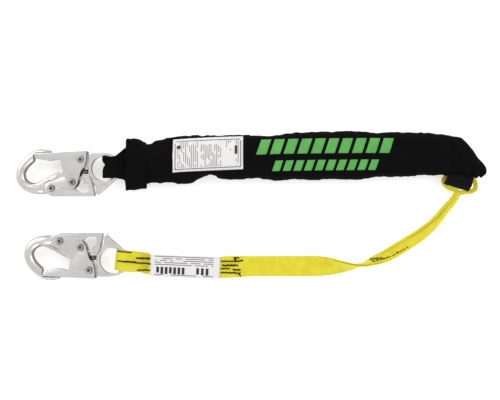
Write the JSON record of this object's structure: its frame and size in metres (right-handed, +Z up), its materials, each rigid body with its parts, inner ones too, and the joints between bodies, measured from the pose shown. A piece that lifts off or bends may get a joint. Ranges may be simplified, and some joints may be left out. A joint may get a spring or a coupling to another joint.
{
  "type": "shock absorbing lanyard",
  "caption": "Fall-arrest lanyard with a fabric-covered tear pack, a flat webbing leg and a double-locking snap hook at each end.",
  "frame": {"origin": "middle of the footprint, on the surface that the lanyard lies on", "axes": "+X from the hooks to the pack's end loop, +Y from the leg to the pack, +Z up"},
  "size_m": [0.5894, 0.188, 0.0314],
  "materials": {
    "hook_steel": "zinc-plated forging, satin",
    "pressed_steel": "zinc-plated pressing, satin",
    "rivet_steel": "polished by the riveting tool",
    "spring_wire": "oiled spring wire",
    "black_webbing": "woven",
    "black_cloth": "woven, soft",
    "tear_webbing": "woven",
    "label_film": "matt printed film",
    "black_thread": "bonded thread",
    "green_transfer": "heat-transfer film",
    "yellow_webbing": "woven polyester"
  },
  "bodies": {
    "pack": {"pack_cover": "black_cloth", "pack_collar": "black_cloth", "loop_a_webbing": "black_webbing", "loop_a_sleeve": "black_cloth", "tear_webbing": "tear_webbing", "backup_webbing": "tear_webbing", "end_loop": "black_webbing", "cover_label": "label_film", "cover_label_thread": "black_thread", "cover_print": "green_transfer", "leg_webbing": "yellow_webbing", "leg_label": "label_film", "leg_hook_stitches": "black_thread", "leg_pack_stitches": "black_thread"},
    "hook_a": {"hook_a_body": "hook_steel", "hook_a_gate_rivet": "rivet_steel", "hook_a_lever_rivet": "rivet_steel", "hook_a_gate_spring": "spring_wire", "hook_a_lever_spring": "spring_wire"},
    "gate_a": {"hook_a_gate": "pressed_steel", "hook_a_lock_pin": "rivet_steel"},
    "lever_a": {"hook_a_lever": "pressed_steel"},
    "hook_b": {"hook_b_body": "hook_steel", "hook_b_gate_rivet": "rivet_steel", "hook_b_lever_rivet": "rivet_steel", "hook_b_gate_spring": "spring_wire", "hook_b_lever_spring": "spring_wire"},
    "gate_b": {"hook_b_gate": "pressed_steel", "hook_b_lock_pin": "rivet_steel"},
    "lever_b": {"hook_b_lever": "pressed_steel"}
  },
  "joints": [
    {"name": "hook_a_swing", "type": "hinge", "parent": "pack", "child": "hook_a", "pos_m": [-0.1675, 0.0472, 0.0103], "axis": [0, 1, 0], "range_deg": [-90, 90]},
    {"name": "gate_a_turn", "type": "hinge", "parent": "hook_a", "child": "gate_a", "pos_m": [-0.2112, 0.0586, 0.0103], "axis": [0, 0, 1], "range_deg": [0, 22], "stiffness_Nm_per_rad": 0.12, "springref_deg": -29.79, "deforming": ["hook_a_gate_spring"]},
    {"name": "lever_a_turn", "type": "hinge", "parent": "hook_a", "child": "lever_a", "pos_m": [-0.2486, 0.0223, 0.0103], "axis": [0, 0, 1], "range_deg": [0, 8], "stiffness_Nm_per_rad": 0.2, "springref_deg": -22.92, "deforming": ["hook_a_lever_spring"]},
    {"name": "hook_b_swing", "type": "hinge", "parent": "pack", "child": "hook_b", "pos_m": [-0.1571, -0.0691, 0.0103], "axis": [0, 1, 0], "range_deg": [-90, 90]},
    {"name": "gate_b_turn", "type": "hinge", "parent": "hook_b", "child": "gate_b", "pos_m": [-0.2008, -0.0805, 0.0103], "axis": [0, 0, -1], "range_deg": [0, 22], "stiffness_Nm_per_rad": 0.12, "springref_deg": -29.79, "deforming": ["hook_b_gate_spring"]},
    {"name": "lever_b_turn", "type": "hinge", "parent": "hook_b", "child": "lever_b", "pos_m": [-0.2382, -0.0442, 0.0103], "axis": [0, 0, -1], "range_deg": [0, 8], "stiffness_Nm_per_rad": 0.2, "springref_deg": -22.92, "deforming": ["hook_b_lever_spring"]}
  ],
  "couplings": [
    {"joint": "lever_a_turn", "follows": "gate_a_turn", "ratio": 0.36364},
    {"joint": "lever_b_turn", "follows": "gate_b_turn", "ratio": 0.36364}
  ]
}
